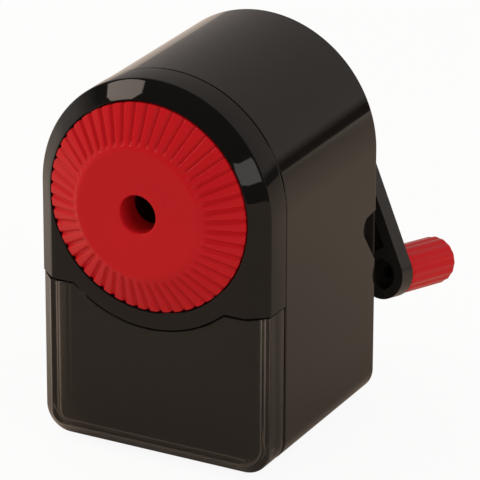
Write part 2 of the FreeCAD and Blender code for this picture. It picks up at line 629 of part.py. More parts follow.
def lean_with_crank(item):
    bind(item, Placement=f"placement(vector(0; {CRANK}; {AXIS}); rotation(vector(0; 1; 0); -crank_angle)"
                         " * rotation(vector(1; 0; 0); -crank_tilt))")
    return item


def make_crank_grip():
    grip = Piece("crank_grip", lift="-crank_length")
    near = "(arm_thickness + grip_gap)"
    far = f"({near} + grip_length)"
    floor, free = f"({far} - grip_end)", "(spindle_radius + grip_gap / 3)"
    end = f"({near} + grip_length - grip_end - grip_gap)"
    groove = "(spindle_radius + bead_height + grip_gap / 3)"
    bead = [f"({end} - bead_place - 2 * grip_gap)", f"({end} - bead_place + bead_length + grip_gap)"]
    axis = grip.turn([(near, free), (near, "grip_radius - grip_chamfer"),
                      (f"{near} + grip_chamfer", "grip_radius"), (f"{far} - grip_round", "grip_radius"),
                      (far, "grip_radius - grip_round"), (far, "0"),
                      (floor, "0"), (floor, free), (bead[1], free), (bead[1], groove), (bead[0], groove),
                      (bead[0], free)])
    middle = "grip_radius + grip_flute_radius - grip_flute_depth"
    flute = grip.cut(f"{near} - tool_run", f"{far} + tool_run", ("0", middle, "grip_flute_radius"))
    grip.repeat(flute, (axis, ["H_Axis"]), "grip_flutes")
    return lean_with_crank(grip.body)


def make_rubber_pad():
    """Non-slip pad with rounded corners, stuck under the shell."""
    pad = Piece("rubber_pad")
    half, corner = f"({HALF} - pad_side)", "pad_corner"
    front, rear = f"({SHELL_FRONT} + pad_margin)", f"({REAR} - pad_margin)"
    outline = [(f"-{half} + {corner}", front), (f"{half} - {corner}", front, corner, 1),
               (half, f"{front} + {corner}"), (half, f"{rear} - {corner}", corner, 1),
               (f"{half} - {corner}", rear), (f"-{half} + {corner}", rear, corner, 1),
               (f"-{half}", f"{rear} - {corner}"), (f"-{half}", f"{front} + {corner}", corner, 1)]
    sheet = pad.feature("Pad", pad.sketch("XY_Plane", [outline]))
    bind(sheet, Length="foot_height")
    doc.recompute()
    return pad.body


def make_crank_screw():
    seat = f"({CRANK} + hub_aft)"
    return screws("crank_screw", seat, "tap_depth - tool_run", [("0", "0")])


nodes = [
    make_main_shell(), make_front_bezel(), make_rear_cover(), make_ring_gear(), make_shaft_bush(),
    screws("bezel_screws", f"({SHELL_FRONT} + tab_length)", "tab_length + seat_depth + tool_run",
           BEZEL_POSTS),
    screws("cover_screws", HEAD_SEAT, "cover_skirt + 2 * tool_run", COVER_POSTS),
    make_rubber_pad(), make_adjuster_dial(), make_shavings_drawer(), make_cutter_carrier(),
    make_drive_shaft(), cross_pin("shaft_pin"),
    ring_piece("thrust_washer", "carrier_hub", "shaft_radius + screw_gap",
               inboard("hub_rear"), f"{PLATE} - flange_height - end_gap"),
    ring_piece("shaft_clip", "bush_radius", "shaft_radius - clip_groove",
               f"{TURRET} + end_gap", f"{TURRET} + end_gap + clip_height"),
    make_crank_arm(), make_crank_screw(),
    tilted_rod("cutter_axle", "axle_radius", f"{PLATE_FRONT} + axle_inset", inboard("axle_end")),
    cut("axle_clip", tilted_rod("ClipDisc", "clip_radius", f"{PLATE_FRONT} + clip_height", CLIP_SEAT),
        [tilted_rod("ClipHole", "axle_radius", PLATE_FRONT, f"{CLIP_SEAT} + tool_run")]),
    make_crank_grip(), make_helical_cutter(), make_cutter_pinion(),
]
doc.recompute()
for item in doc.Objects:
    if {"Invalid", "Error"} & set(item.State):
        raise RuntimeError(f"{item.Name} did not build: {item.State}")
for node in nodes:
    node.Label = node.Name
    if node.Shape.isNull() or not node.Shape.isValid() or not node.Shape.Solids:
        raise RuntimeError(f"{node.Label} has no valid solid")
    node.Shape.exportStep(f"parts/{node.Label}.step")
    box = node.Shape.BoundBox
    print(f"{node.Label}: {len(node.Shape.Solids)} solid(s), {node.Shape.Volume:.1f} mm3,",
          f"x {box.XMin:.1f}..{box.XMax:.1f} y {box.YMin:.1f}..{box.YMax:.1f}",
          f"z {box.ZMin:.1f}..{box.ZMax:.1f}")
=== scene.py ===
import json
import math

import bmesh
import bpy
from mathutils import Matrix, Vector


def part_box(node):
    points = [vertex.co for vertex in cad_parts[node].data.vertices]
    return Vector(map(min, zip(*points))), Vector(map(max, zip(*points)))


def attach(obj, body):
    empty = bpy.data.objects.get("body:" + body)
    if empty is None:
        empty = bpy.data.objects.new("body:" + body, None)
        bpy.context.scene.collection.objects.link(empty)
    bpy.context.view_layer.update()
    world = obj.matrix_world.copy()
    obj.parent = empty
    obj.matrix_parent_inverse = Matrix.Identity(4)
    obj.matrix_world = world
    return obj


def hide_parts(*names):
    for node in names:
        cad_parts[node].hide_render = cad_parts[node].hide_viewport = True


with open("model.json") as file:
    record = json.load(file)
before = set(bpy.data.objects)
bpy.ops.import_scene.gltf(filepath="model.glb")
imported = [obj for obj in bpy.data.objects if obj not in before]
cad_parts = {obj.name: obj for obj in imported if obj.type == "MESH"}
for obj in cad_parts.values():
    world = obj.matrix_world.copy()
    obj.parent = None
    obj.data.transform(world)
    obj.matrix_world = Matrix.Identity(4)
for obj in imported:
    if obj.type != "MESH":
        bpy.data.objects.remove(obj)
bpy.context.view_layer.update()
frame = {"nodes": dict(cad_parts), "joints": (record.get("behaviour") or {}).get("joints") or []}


# Main shell: the sleeve of the body, an arch on straight sides with a floor, moulded in black ABS with a
# satin skin. The bezel is screwed to its four front tabs and laps over the tongue on its front edge. The
# rear cover plugs into its back, where a notch in each side wall gives a finger room.
MM = 0.001


def box_mm(node):
    """Lowest and highest corner of a CAD node at rest, in millimetres."""
    return [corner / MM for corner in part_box(node)]


shell_low, shell_high = box_mm("main_shell")
HALF, REAR, SHELL_FRONT = shell_high.x, shell_high.y, shell_low.y
AXIS = shell_high.z - HALF                    # pencil axis above the table; outlines count from it
BASE = shell_low.z - AXIS
CORNER, WALL = 6.5, 2.2
SEAM = SHELL_FRONT - 0.7                      # the bezel's back, a gap in front of the shell's edge
TONGUE_TIP, TONGUE_INSET = SEAM + 0.05, 0.4
FRONT_ROUND, REAR_ROUND = 0.35, 0.25

# The finger notch, as (depth in from the rear edge, height): a slope, a round inner end and a flat top.
NOTCH_FOOT, NOTCH_HEEL = (0, -28.06), (5.2, -21.07)
NOTCH_BEND = (3.19, -18.7, 3.1, -49.6, 69.6)  # centre, radius, first and last angle
NOTCH_ROOF, NOTCH_TIP = (4.27, -15.8), (0, -15.395)

POST_REACH = HALF - 6
POST_SLANT = POST_REACH * math.sqrt(0.5)
BEZEL_POSTS = [(POST_SLANT, POST_SLANT), (-POST_SLANT, POST_SLANT), (POST_REACH, -13), (-POST_REACH, -13)]
COVER_POSTS = [(0, POST_REACH), (POST_REACH, -17), (-POST_REACH, -17)]
BLOCK_RADIUS, TAB_LENGTH, BLOCK_LENGTH = 4.2, 3, 6
SKIRT = REAR - 12                             # front edge of the rear cover's skirt


def run(start, end, count):
    """Points along a straight line, without its end."""
    (x, z), (far_x, far_z) = start, end
    return [(x + (far_x - x) * i / count, z + (far_z - z) * i / count) for i in range(count)]


def bend(x, z, radius, first, last, count):
    """Points round an arc, in degrees from +X towards +Z, without its end."""
    turns = [math.radians(first + (last - first) * i / count) for i in range(count)]
    return [(x + radius * math.cos(t), z + radius * math.sin(t)) for t in turns]


def rounding(radius, steps=4, guard=None):
    """Inset and setback of a rounded edge, from the end face round to the side.

    A guard adds a point that far past the edge, which keeps the shading of the side flat.
    """
    turns = [math.pi / 2 * i / steps for i in range(steps + 1)]
    points = [(radius * (1 - math.sin(t)), radius * (1 - math.cos(t))) for t in turns]
    return points + [(0, radius + guard)] if guard else points


def side_wall(half, notched):
    """One side wall from the floor's corner up to the arch, as (x, z, depth in from the end)."""
    edge = run((0, BASE + CORNER), NOTCH_FOOT, 6) + run(NOTCH_FOOT, NOTCH_HEEL, 16)
    edge += bend(*NOTCH_BEND, 40) + run(NOTCH_ROOF, NOTCH_TIP, 8) + run(NOTCH_TIP, (0, 0), 7)
    return [(half, z, depth if notched else 0) for depth, z in edge]


def shell_ring(y, inset, notched):
    """Section of the shell, drawn in by an inset and, if notched, cut back at the finger notches."""
    half, bottom, corner = HALF - inset, BASE + inset, CORNER - inset
    side = side_wall(half, notched)
    lower = run((corner - half, bottom), (half - corner, bottom), 24)
    lower += bend(half - corner, bottom + corner, corner, -90, 0, 16)
    arch = bend(0, 0, half, 0, 180, 144)
    last = bend(corner - half, bottom + corner, corner, 180, 270, 16)
    ring = [(x, z, 0) for x, z in lower] + side + [(x, z, 0) for x, z in arch]
    ring += [(-x, z, depth) for x, z, depth in side[::-1]] + [(x, z, 0) for x, z in last]
    return [(x, y - depth, z + AXIS) for x, z, depth in ring]


def add_skin(mesh, rings, around=False, caps=False):
    """Bridge rings of points, in millimetres; around joins the last ring to the first."""
    rows = [[mesh.verts.new(Vector(p) * MM) for p in ring] for ring in rings]
    following = rows[1:] + rows[:1] if around else rows[1:]
    for near, far in zip(rows, following):
        for i in range(len(near)):
            j = (i + 1) % len(near)
            mesh.faces.new((near[i], near[j], far[j], far[i]))
    if caps:
        mesh.faces.new(rows[0])
        mesh.faces.new(rows[-1])


def add_post(mesh, x, z, radius, near, far):
    """Add a round post for a screw, along Y."""
    circle = bend(x, z, radius, 0, 360, 32)
    add_skin(mesh, [[(px, y, pz + AXIS) for px, pz in circle] for y in (near, far)], caps=True)


def new_object(name, mesh):
    """Object from a bmesh, which is used up."""
    data = bpy.data.meshes.new(name)
    mesh.to_mesh(data)
    mesh.free()
    item = bpy.data.objects.new(name, data)
    bpy.context.scene.collection.objects.link(item)
    return item


def closed_object(name, mesh):
    """Object from a bmesh, with its seams and poles closed and its faces pointing outwards."""
    bmesh.ops.remove_doubles(mesh, verts=mesh.verts, dist=0.002 * MM)
    loose = [edge for edge in mesh.edges if edge.is_wire]
    bmesh.ops.delete(mesh, geom=loose, context="EDGES")
    bmesh.ops.recalc_face_normals(mesh, faces=mesh.faces)
    return new_object(name, mesh)


def settle(item):
    """Turn what the modifiers make into the plain mesh."""
    depsgraph = bpy.context.evaluated_depsgraph_get()
    made = bpy.data.meshes.new_from_object(item.evaluated_get(depsgraph))
    item.modifiers.clear()
    item.data = made
    return item


def dress(item, material, slot, body, *nodes):
    """Give a finished piece its shading, its material and the body it rides on; the slot is not used."""
    if not item.data.has_custom_normals:
        item.data.shade_smooth()
        item.data.set_sharp_from_angle(angle=math.radians(32))
    item.data.materials.clear()
    item.data.materials.append(material)
    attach(item, body)
    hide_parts(*nodes)


def linear(code):
    """sRGB hex colour as linear RGBA."""
    parts = [int(code[i:i + 2], 16) / 255 for i in (1, 3, 5)]
    return [c / 12.92 if c <= 0.04045 else ((c + 0.055) / 1.055) ** 2.4 for c in parts] + [1.0]


def add(tree, kind, sockets=None, **settings):
    """Add a node with its settings; each socket takes a value or another node's output."""
    item = tree.nodes.new(kind)
    for name, value in settings.items():
        setattr(item, name, value)
    for socket, value in (sockets or {}).items():
        if isinstance(value, bpy.types.NodeSocket):
            tree.links.new(value, item.inputs[socket])
        else:
            item.inputs[socket].default_value = value
    return item


def surface(name, tones, flow, skin, gloss, relief, sockets):
    """Material whose colour wanders with a flow, and whose gloss and relief follow a finer skin.

    Flow and skin are (size in mm, detail), gloss is the range of the roughness, relief is (strength,
    depth in mm) or None, and sockets holds what is the same all over.
    """
    material = bpy.data.materials.new(name)
    material.use_nodes = True
    tree = material.node_tree
    shader = tree.nodes["Principled BSDF"]
    for socket, value in sockets.items():
        shader.inputs[socket].default_value = value
    place = add(tree, "ShaderNodeTexCoord").outputs["Object"]
    drift = add(tree, "ShaderNodeTexNoise", {"Vector": place, "Scale": 1 / (flow[0] * MM), "Detail": flow[1]})
    colour = add(tree, "ShaderNodeMix", {0: drift.outputs["Fac"], 6: linear(tones[0]), 7: linear(tones[1])},
                 data_type="RGBA")
    grain = add(tree, "ShaderNodeTexNoise", {"Vector": place, "Scale": 1 / (skin[0] * MM), "Detail": skin[1]})
    rough = add(tree, "ShaderNodeMapRange",
                {"Value": grain.outputs["Fac"], "To Min": gloss[0], "To Max": gloss[1]})
    tree.links.new(colour.outputs[2], shader.inputs["Base Color"])
    tree.links.new(rough.outputs[0], shader.inputs["Roughness"])
    if relief:
        bump = add(tree, "ShaderNodeBump",
                   {"Height": grain.outputs["Fac"], "Strength": relief[0], "Distance": relief[1] * MM})
        tree.links.new(bump.outputs[0], shader.inputs["Normal"])
    return material


def moulded(name, tones, grain, gloss, relief, ior=1.5):
    """Moulded plastic or rubber: tones that drift, and a gloss broken by the tool's texture.

    The texture of a real tool is finer than a pixel, so its grain is drawn coarser than it is.
    """
    return surface(name, tones, (14, 2.0), (grain, 3.0), gloss, (relief, 0.02), {"IOR": ior})


# Black ABS from a finely sparked tool: warm brown-black, with soft-edged reflections.
satin_abs = moulded("abs_black_satin", ("#110E0B", "#16120E"), 0.5, (0.05, 0.09), 0.06, 1.48)

front_edge = rounding(FRONT_ROUND, guard=0.07)
rear_edge = rounding(REAR_ROUND, guard=0.07)
outside = [shell_ring(SHELL_FRONT + back, inset, False) for inset, back in front_edge]
outside += [shell_ring(REAR - back, inset, True) for inset, back in rear_edge[::-1]]
inside = [shell_ring(REAR, WALL, True), shell_ring(TONGUE_TIP, WALL, False)]
tongue = [shell_ring(y, TONGUE_INSET, False) for y in (TONGUE_TIP, SHELL_FRONT)]
mesh = bmesh.new()
add_skin(mesh, outside + inside + tongue, around=True)
for x, z in BEZEL_POSTS:
    add_post(mesh, x, z, BLOCK_RADIUS, SHELL_FRONT, SHELL_FRONT + TAB_LENGTH)
for x, z in COVER_POSTS:
    add_post(mesh, x, z, BLOCK_RADIUS, SKIRT - BLOCK_LENGTH, SKIRT)
dress(closed_object("shell", mesh), satin_abs, "satin_black", "housing", "main_shell")


# Rear cover: the plug-in back of the body, a plate with a skirt inside the shell and a cone-shaped boss
# that holds the shaft's bush. One ABS moulding, held by three screws in counterbores.
def softened(name, node, width):
    """Copy of a CAD solid with its sharp edges broken by a width, as a moulding's are."""
    mesh = bmesh.new()
    mesh.from_mesh(frame["nodes"][node].data)
    bmesh.ops.remove_doubles(mesh, verts=mesh.verts, dist=0.003 * MM)
    bmesh.ops.dissolve_limit(mesh, angle_limit=math.radians(0.6), verts=mesh.verts, edges=mesh.edges)
    item = new_object(name, mesh)
    item.data.shade_smooth()
    edges = item.modifiers.new("Broken edges", "BEVEL")
    edges.width = width * MM
    edges.segments = 3
    edges.limit_method = "ANGLE"
    edges.angle_limit = math.radians(38)
    item.modifiers.new("Flat faces", "WEIGHTED_NORMAL")
    return settle(item)


# Black ABS from a coarse tool: dull, so that the cover stays dark in the shell's notches.
dull_abs = moulded("abs_black_dull", ("#25211E", "#2B2724"), 0.6, (0.5, 0.6), 0.1, 1.13)

dress(softened("cover", "rear_cover", 0.3), dull_abs, "satin_black", "housing", "rear_cover")


# Front bezel: the frame round the dial, with a wide bevel that runs back into a side band, two shoulders
# and a scoop below. Polished black ABS, screwed to the shell from behind; the dial turns in its seat.
bezel_low, bezel_high = box_mm("front_bezel")
dial_low, dial_high = box_mm("adjuster_dial")
FRONT, DIAL_RADIUS = bezel_low.y, dial_high.x
DIAL_GAP = 0.3
DIAL_SEAT = DIAL_RADIUS + DIAL_GAP
SEAT_FLOOR = FRONT + 4
SEAT_BACK = SEAT_FLOOR + 2
COLLAR_RADIUS = 11.8                          # the dial's collar goes through the seat
BEVEL_EDGE = HALF - 4.4
BEVEL_SLOPE = 3.9 / (bezel_high.x - BEVEL_EDGE)          # it falls back 3.9 mm out to the solid's edge
STEP, RIM = 0.12, 0.32                        # how far the band stands proud, and how round its edges are
SHOULDER, SCOOP = 22.6, 30.1
LIP, LIP_REAR, LIP_ROUND = 0.45, SEAM + 0.3, 0.25        # the thin edge that laps over the shell's tongue
POST_RADIUS = 3.2


def outline_reach(turn, half, drop, scoop):
    """Distance from the pencil axis to an outline with an arch above, shoulders and a scoop below."""
    across, up = abs(math.cos(turn)), math.sin(turn)
    if up >= 0:
        return half
    if half / max(across, 1e-9) * -up <= drop:
        return half / across
    shoulder = drop / -up
    return shoulder if shoulder * across > math.sqrt(scoop ** 2 - drop ** 2) else scoop


def eased(distance, radius):
    """Fall of a rounded edge at a distance in from it."""
    return radius - math.sqrt(max(radius ** 2 - max(radius - distance, 0) ** 2, 0))


def bezel_profile(turn):
    """Section of the bezel in one direction from the axis, as (reach, y)."""
    across = abs(math.cos(turn)) if math.sin(turn) < 0 else 1.0
    outer = outline_reach(turn, HALF + STEP, SHOULDER, SCOOP)
    inner = outline_reach(turn, HALF - WALL, SHOULDER - WALL, SCOOP - WALL)
    near, far = DIAL_SEAT + RIM, outer - RIM

    def face(reach):
        past = reach * across - BEVEL_EDGE
        ramp = 0 if past < -RIM else past if past > RIM else (past + RIM) ** 2 / (4 * RIM)
        return FRONT + BEVEL_SLOPE * ramp + eased(reach - DIAL_SEAT, RIM) + eased(outer - reach, RIM)

    steps = [RIM * share for share in (0, 0.04, 0.15, 0.35, 0.65, 1)]
    ramp = [(BEVEL_EDGE + RIM * share) / max(across, 0.2) for share in (-1, -0.5, 0, 0.5, 1)]
    ramp = [min(max(reach, near), far) for reach in ramp]
    rest = [ramp[-1] + (far - ramp[-1]) * share for share in (0.33, 0.66, 0.96)]
    reaches = [DIAL_SEAT + s for s in steps] + ramp + rest + [outer - s for s in steps[::-1]]
    profile = [(reach, face(reach)) for reach in reaches]
    profile += [(outer - inset, LIP_REAR - back) for inset, back in rounding(LIP_ROUND, guard=0.05)[::-1]]
    profile += [(outer - LIP, LIP_REAR), (outer - LIP, SEAM), (inner, SEAM), (inner, SEAT_BACK)]
    hole = COLLAR_RADIUS + DIAL_GAP
    return profile + [(hole, SEAT_BACK), (hole, SEAT_FLOOR), (DIAL_SEAT, SEAT_FLOOR)]


# Polished black ABS: deep black, with clear reflections of the lamps along its bevel.
gloss_abs = moulded("abs_black_polished", ("#110F0D", "#161412"), 2.5, (0.03, 0.06), 0.02, 1.38)

# A ray of the section every 1.25 degrees, and one on each side of every corner of the outline.
tips = (HALF + STEP, math.sqrt(SCOOP ** 2 - SHOULDER ** 2))
corners = [math.degrees(math.atan2(SHOULDER, x)) + hair for x in tips for hair in (-0.01, 0.01)]
turns = [i * 1.25 for i in range(288)] + [-c for c in corners] + [180 + c for c in corners]
rings = []
for turn in sorted(math.radians(t % 360) for t in turns):
    across, up = math.cos(turn), math.sin(turn)
    rings.append([(reach * across, y, reach * up + AXIS) for reach, y in bezel_profile(turn)])
mesh = bmesh.new()
add_skin(mesh, rings, around=True)
for x, z in BEZEL_POSTS:
    add_post(mesh, x, z, POST_RADIUS, SEAT_BACK - 0.5, SHELL_FRONT)
dress(closed_object("bezel", mesh), gloss_abs, "gloss_black", "housing", "front_bezel")


# Dial: the red ring round the pencil hole, one ABS moulding with a flat disc, a fluted cone to turn it by
# and a collar that goes through the bezel's seat and locks behind it.
DISC, COLLAR_REAR = dial_low.y, dial_high.y
DISC_RADIUS, BORE, BORE_ROUND, BORE_END = 15.8, 4.65, 0.5, DISC + 7.3
DIAL_WALL, TUBE_WALL, CHAMFER = 2.2, 1.8, 0.3
EASE = 0.6                                    # the disc bends into the cone over this much each way
DIAL_FLUTES, RUN_OUT = 50, 1.5                # the flutes run out down the rim over this length


def fluting():
    """Nodes that press grooves into a turned piece along its own flute directions."""
    tree = bpy.data.node_groups.new("Fluting", "GeometryNodeTree")
    for name, kind in (("Geometry", "Geometry"), ("Flutes", "Int"), ("Depth", "Float"),
                       ("Half width", "Float"), ("Axis height", "Float"), ("Finish", "Material")):
        tree.interface.new_socket(name, in_out="INPUT", socket_type=f"NodeSocket{kind}")
    tree.interface.new_socket("Geometry", in_out="OUTPUT", socket_type="NodeSocketGeometry")
    given = add(tree, "NodeGroupInput").outputs
    position = add(tree, "GeometryNodeInputPosition").outputs[0]
    place = add(tree, "ShaderNodeSeparateXYZ", {0: position}).outputs
    height = add(tree, "ShaderNodeMath", {0: place["Z"], 1: given["Axis height"]}, operation="SUBTRACT")
    turn = add(tree, "ShaderNodeMath", {0: place["X"], 1: height.outputs[0]}, operation="ARCTAN2")
    pitch = add(tree, "ShaderNodeMath", {0: 2 * math.pi, 1: given["Flutes"]}, operation="DIVIDE")
    half_pitch = add(tree, "ShaderNodeMath", {0: pitch.outputs[0], 1: 0.5}, operation="MULTIPLY")
    apart = add(tree, "ShaderNodeMath", {0: turn.outputs[0], 1: half_pitch.outputs[0]},
                operation="PINGPONG")
    spoke = add(tree, "ShaderNodeCombineXYZ", {0: place["X"], 1: height.outputs[0]})
    reach = add(tree, "ShaderNodeVectorMath", {0: spoke.outputs[0]}, operation="LENGTH")
    aside = add(tree, "ShaderNodeMath", {0: apart.outputs[0], 1: reach.outputs["Value"]},
                operation="MULTIPLY")
    groove = add(tree, "ShaderNodeMapRange",
                 {"Value": aside.outputs[0], "From Max": given["Half width"], "To Min": 1.0, "To Max": 0.0},
                 interpolation_type="SMOOTHSTEP")
    depth = add(tree, "ShaderNodeMath", {0: groove.outputs[0], 1: given["Depth"]}, operation="MULTIPLY")
    way = add(tree, "GeometryNodeInputNamedAttribute", {"Name": "flute"}, data_type="FLOAT_VECTOR")
    press = add(tree, "ShaderNodeVectorMath", {0: way.outputs[0], "Scale": depth.outputs[0]},
                operation="SCALE")
    moved = add(tree, "GeometryNodeSetPosition", {"Geometry": given["Geometry"], "Offset": press.outputs[0]})
    real = add(tree, "GeometryNodeRealizeInstances", {0: moved.outputs[0]})
    done = add(tree, "GeometryNodeSetMaterial", {"Geometry": real.outputs[0], "Material": given["Finish"]})
    add(tree, "NodeGroupOutput", {0: done.outputs[0]})
    return tree


def grow(item, tree, sizes):
    """Run a node tree on an object with its named inputs, and keep the result as a plain mesh."""
    modifier = item.modifiers.new(tree.name, "NODES")
    modifier.node_group = tree
    for socket in tree.interface.items_tree:
        if socket.name in sizes:
            modifier[socket.identifier] = sizes[socket.name]
    return settle(item)


def turned(name, profile, columns, height):
    """Closed turned piece about an axis along Y; a profile point is (reach, y, flute reach, flute y)."""
    mesh = bmesh.new()
    ways = []
    rings = []
    for i in range(columns):
        across, up = math.sin(2 * math.pi * i / columns), math.cos(2 * math.pi * i / columns)
        rings.append([(r * across, y, r * up + height) for r, y, *_ in profile])
        ways += [(fr * across, fy, fr * up) for _, _, fr, fy in profile]
    add_skin(mesh, rings, around=True)
    layer = mesh.verts.layers.float_vector.new("flute")
    for vert, way in zip(mesh.verts, ways):
        vert[layer] = way
    return closed_object(name, mesh)


def plain(*points):
    """Profile points that no flute moves."""
    return [(r, y, 0, 0) for r, y in points]


# Glossy red ABS: an even signal red that darkens only where it turns from the light.
red_abs = moulded("abs_red_glossy", ("#BC161C", "#C4191F"), 1.2, (0.18, 0.26), 0.05, 1.22)

cone_slope = (FRONT - DISC) / (DIAL_RADIUS - DISC_RADIUS)
lean = math.atan(cone_slope)
inwards = Vector((-math.sin(lean), math.cos(lean)))      # square to the cone, as (reach, y)
bent = [EASE * i / 3 for i in range(6)]
cone = plain(*[(DISC_RADIUS - EASE + t, DISC + cone_slope * t ** 2 / (4 * EASE)) for t in bent])
for i in range(21):
    reach = DISC_RADIUS + EASE + (DIAL_RADIUS - DISC_RADIUS - EASE) * i / 20
    fade = min(1.0, i / 3)                    # the flutes run out towards the disc
    cone.append((reach, DISC + cone_slope * (reach - DISC_RADIUS), *(inwards * fade)))
rim = [(DIAL_RADIUS, FRONT + RUN_OUT * s, *(inwards * (1 - s))) for s in (0.25, 0.5, 0.75, 1)]
mouth = plain(*[(BORE + inset, DISC + back) for inset, back in rounding(BORE_ROUND, guard=0.1)[::-1]])
disc = plain((BORE + BORE_ROUND + 0.1, DISC), (DISC_RADIUS - 1, DISC))
hollow, under, back = DIAL_RADIUS - DIAL_WALL, DISC + DIAL_WALL, SEAT_FLOOR - DIAL_GAP
behind = plain((DIAL_RADIUS, back - CHAMFER), (DIAL_RADIUS - CHAMFER, back), (hollow, back),
               (hollow, FRONT + 1), (DISC_RADIUS, under),
               (COLLAR_RADIUS, under), (COLLAR_RADIUS, COLLAR_REAR),
               (COLLAR_RADIUS - TUBE_WALL, COLLAR_REAR), (COLLAR_RADIUS - TUBE_WALL, under),
               (BORE + TUBE_WALL, under), (BORE + TUBE_WALL, BORE_END), (BORE, BORE_END))
dial = turned("dial", mouth + disc + cone + rim + behind, DIAL_FLUTES * 20, AXIS)
fluting_tree = fluting()
grow(dial, fluting_tree, {"Flutes": DIAL_FLUTES, "Depth": 0.55 * MM, "Half width": 0.8 * MM,
                          "Axis height": AXIS * MM, "Finish": red_abs})
dress(dial, red_abs, "red_plastic", "dial", "adjuster_dial")


# Shavings drawer: a bevelled front under the bezel's scoop and an open tray behind it, moulded in one
# piece from smoked clear polystyrene. It slides on the shell's floor and is pulled out by its front.
drawer_high = box_mm("shavings_drawer")[1]
DRAWER_HALF, DRAWER_REAR = drawer_high.x, drawer_high.y
PANEL_HALF = DRAWER_HALF + 0.2
SHOULDER_GAP, SCOOP_GAP, TRAY_GAP = 0.4, 0.3, 0.6        # under the bezel, of the front and of the tray
SLIDE_GAP = 0.3
TRAY_HALF, TRAY_BASE, TRAY_CORNER = HALF - WALL - SLIDE_GAP, BASE + WALL + SLIDE_GAP, CORNER - WALL
PANEL_ROUND, TRAY_ROUND = 0.15, 0.5
FRONT_WALL, PANEL_INSET, FLANGE, TRAY_WALL = 2.6, 3.0, 2.0, 1.8
INNER_ROUND = 3.2                             # between the front and the walls, seen through the plastic
FLOOR_CUT = 0.5                               # the inside lies this much nearer the floor than the sides


def drawer_outline(half, bottom, corner, drop, scoop):
    """Outline with rounded lower corners, two shoulders and a scoop between them."""
    tip = math.degrees(math.asin(drop / scoop))
    side = math.sqrt(scoop ** 2 - drop ** 2)
    return (run((corner - half, bottom), (half - corner, bottom), 40)
            + bend(half - corner, bottom + corner, corner, -90, 0, 14)
            + run((half, bottom + corner), (half, -drop), 16) + run((half, -drop), (side, -drop), 8)
            + bend(0, 0, scoop, -tip, tip - 180, 72)
            + run((-side, -drop), (-half, -drop), 8) + run((-half, -drop), (-half, bottom + corner), 16)
            + bend(corner - half, bottom + corner, corner, 180, 270, 14))


def panel_ring(y, bevel, edge):
    """Section of the drawer's front, drawn in by the bevel at the sides and by the edge at the top."""
    points = drawer_outline(PANEL_HALF - bevel, BASE + bevel, CORNER - bevel,
                            SHOULDER + SHOULDER_GAP + edge, SCOOP + SCOOP_GAP + edge)
    return [(x, y, z + AXIS) for x, z in points]


def tray_ring(y, edge):
    """Section of the tray behind the front, drawn in by the edge all round."""
    points = drawer_outline(TRAY_HALF - edge, TRAY_BASE + edge, TRAY_CORNER - edge,
                            SHOULDER + TRAY_GAP + edge, SCOOP + TRAY_GAP + edge)
    return [(x, y, z + AXIS) for x, z in points]


def hollow_ring(y, inset):
    """Section of the drawer's inside, open at the top, an inset in from the solid's outline."""
    half, bottom, corner = DRAWER_HALF - inset, BASE + inset - FLOOR_CUT, CORNER - inset
    points = (run((corner - half, bottom), (half - corner, bottom), 4)
              + bend(half - corner, bottom + corner, corner, -90, 0, 10)
              + run((half, bottom + corner), (half, 0), 2)
              + run((half, 0), (-half, 0), 2) + run((-half, 0), (-half, bottom + corner), 2)
              + bend(corner - half, bottom + corner, corner, 180, 270, 10))
    return [(x, y, z + AXIS) for x, z in points]


def cut_away(item, tool):
    """Take one closed solid out of another."""
    taken = item.modifiers.new("Hollow", "BOOLEAN")
    taken.object = tool
    taken.solver = "EXACT"
    settle(item)
    bpy.data.objects.remove(tool)
    return item


# Smoked polystyrene: clear, tinted brown-black, hard gloss; walls and edges show through it.
smoke = surface("polystyrene_smoked", ("#67635F", "#6F6B67"), (20, 2.0), (1.5, 4.0), (0.03, 0.08), None,
                {"Transmission Weight": 0.97, "IOR": 1.42})

# The front's bevel, as (back from the front, inset at the sides, inset at the top); the first ring keeps
# the face flat, and both ends of the slope are softened.
bevel = [(0, 4.4, 0.55), (0, 4.15, 0.3), (0.03, 3.97, 0.12), (0.1, 3.8, 0.05), (0.3, 3.6, 0),
         (3.6, 0.34, 0), (3.8, 0.13, 0), (4.05, 0.03, 0), (4.3, 0, 0)]
rings = [panel_ring(FRONT + back, *insets) for back, *insets in bevel]
rings += [panel_ring(SEAM - back, inset, inset) for inset, back in rounding(PANEL_ROUND, guard=0.2)[::-1]]
rings.append(tray_ring(SEAM, 0))
rings += [tray_ring(DRAWER_REAR - back, inset) for inset, back in rounding(TRAY_ROUND, guard=0.1)[::-1]]
mesh = bmesh.new()
add_skin(mesh, rings, caps=True)
drawer = closed_object("drawer", mesh)
pocket, tray_inset = FRONT + FRONT_WALL, DRAWER_HALF - TRAY_HALF + TRAY_WALL
rings = [hollow_ring(pocket, PANEL_INSET + INNER_ROUND + 0.15)]
rings += [hollow_ring(pocket + back, PANEL_INSET + inset) for inset, back in rounding(INNER_ROUND, 12)]
rings += [hollow_ring(SEAM - FLANGE, PANEL_INSET), hollow_ring(SEAM - FLANGE, tray_inset)]
rings.append(hollow_ring(DRAWER_REAR - TRAY_WALL, tray_inset))
mesh = bmesh.new()
add_skin(mesh, rings, caps=True)
cut_away(drawer, closed_object("drawer_hollow", mesh))
dress(drawer, smoke, "smoke_clear", "drawer", "shavings_drawer")


# Cutter unit: a zinc carrier on the drive shaft leads a tilted helical cutter round the pencil, and the
# cutter's pinion rolls in a ring gear that sits in the rear cover. Cast, turned and ground metal.
def worked_metal(name, tones, grain, gloss):
    """Metal with fine tool or casting marks in its colour, its gloss and its relief."""
    return surface(name, tones, (grain, 5.0), (grain, 5.0), gloss, (0.15, 0.03), {"Metallic": 1.0})


